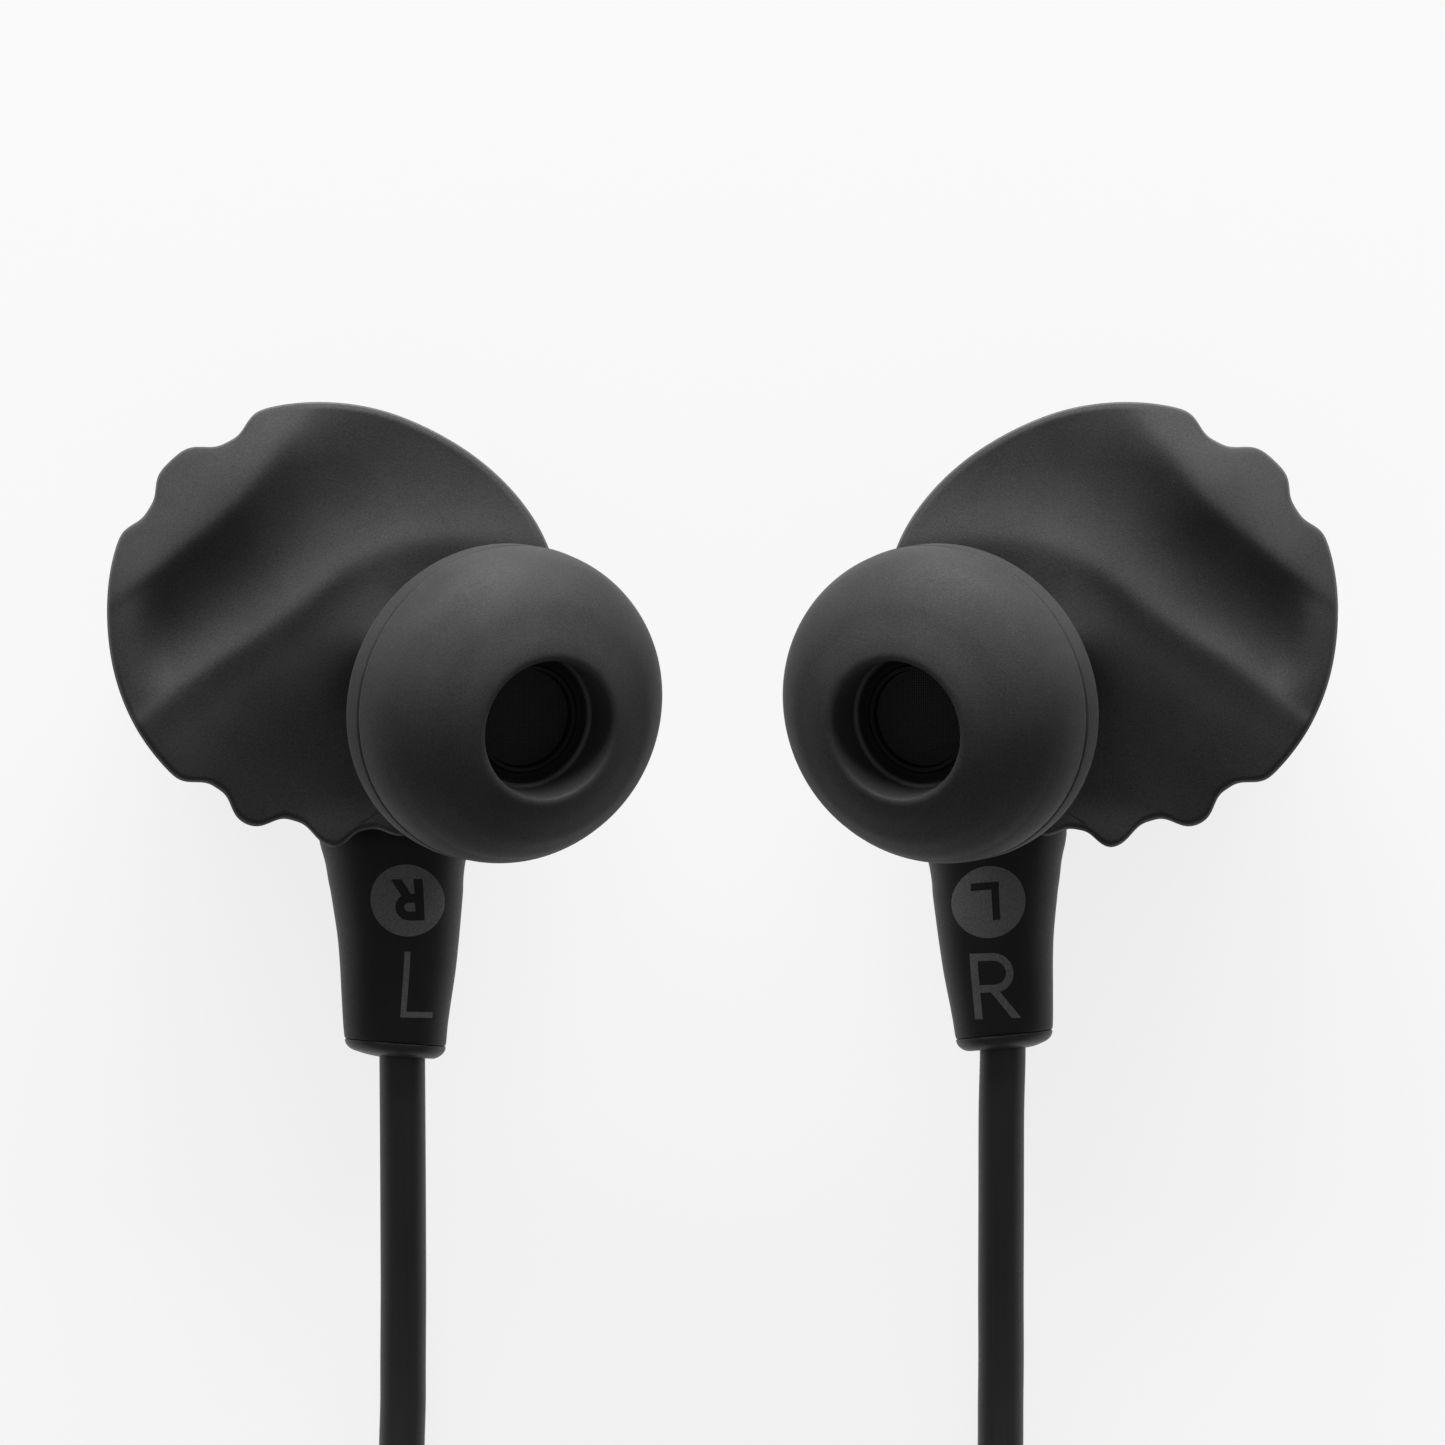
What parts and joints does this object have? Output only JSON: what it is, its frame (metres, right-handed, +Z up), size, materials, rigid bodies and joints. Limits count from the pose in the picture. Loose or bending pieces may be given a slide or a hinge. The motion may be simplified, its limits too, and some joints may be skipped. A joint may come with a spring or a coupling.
{
  "type": "wired earphones",
  "caption": "Wired in-ear earphones with ribbed silicone sleeves, slanted nozzles with dome ear tips, tapered stems, tied coils of cord, a splitter and a round plug.",
  "frame": {"origin": "middle of the outline of the two buds, at the level of the table under the back covers", "axes": "+X across the pair towards the right bud, +Y from the stems towards the buds, +Z up from the table, the way the ear tips face"},
  "size_m": [0.0526, 0.1168, 0.0188],
  "materials": {
    "silicone": "matte",
    "housing": "satin",
    "cover": "satin",
    "mesh": "satin",
    "steel": "satin",
    "film": "satin",
    "copper": "satin",
    "frame": "matte",
    "magnet": "satin",
    "board": "matte",
    "brass": "satin",
    "wire": "satin",
    "cord": "matte",
    "overmould": "matte",
    "strap": "satin",
    "insulator": "satin",
    "contact": "polished"
  },
  "bodies": {
    "earphones": {"left_ear_sleeve": "silicone", "left_front_shell": "housing", "left_nozzle_mesh": "mesh", "left_driver_grille": "steel", "left_driver_frame": "frame", "left_top_plate": "steel", "left_magnet": "magnet", "left_yoke": "steel", "left_terminal_board": "board", "left_back_shell": "housing", "left_back_cover": "cover", "left_stem": "housing", "left_stem_end": "cover", "left_cord_crimp": "brass", "left_lead_wires": "wire", "right_ear_sleeve": "silicone", "right_front_shell": "housing", "right_nozzle_mesh": "mesh", "right_driver_grille": "steel", "right_driver_frame": "frame", "right_top_plate": "steel", "right_magnet": "magnet", "right_yoke": "steel", "right_terminal_board": "board", "right_back_shell": "housing", "right_back_cover": "cover", "right_stem": "housing", "right_stem_end": "cover", "right_cord_crimp": "brass", "right_lead_wires": "wire", "left_cord": "cord", "left_coil": "cord", "left_merge_cord": "cord", "right_cord": "cord", "right_coil": "cord", "right_merge_cord": "cord", "left_coil_tie": "strap", "right_coil_tie": "strap", "main_coil_tie": "strap", "splitter_lower": "overmould", "splitter_upper": "overmould", "main_cord": "cord", "main_coil": "cord", "plug_cord": "cord", "plug_boot": "overmould", "plug_sleeve": "contact", "plug_ring": "contact", "plug_tip": "contact", "plug_insulators": "insulator"},
    "left_tip": {"left_ear_tip": "silicone"},
    "right_tip": {"right_ear_tip": "silicone"},
    "left_diaphragm_body": {"left_diaphragm": "film", "left_voice_coil": "copper"},
    "right_diaphragm_body": {"right_diaphragm": "film", "right_voice_coil": "copper"}
  },
  "joints": [
    {"name": "left_tip_pull", "type": "slide", "parent": "earphones", "child": "left_tip", "axis": [0.4307, -0.2054, 0.8788], "range_m": [0, 0.0042]},
    {"name": "right_tip_pull", "type": "slide", "parent": "earphones", "child": "right_tip", "axis": [-0.4307, -0.2054, 0.8788], "range_m": [0, 0.0042]},
    {"name": "left_diaphragm_stroke", "type": "slide", "parent": "earphones", "child": "left_diaphragm_body", "axis": [0, 0, 1], "range_m": [-0.00015, 0.00015], "stiffness_N_per_m": 50},
    {"name": "right_diaphragm_stroke", "type": "slide", "parent": "earphones", "child": "right_diaphragm_body", "axis": [0, 0, 1], "range_m": [-0.00015, 0.00015], "stiffness_N_per_m": 50}
  ]
}
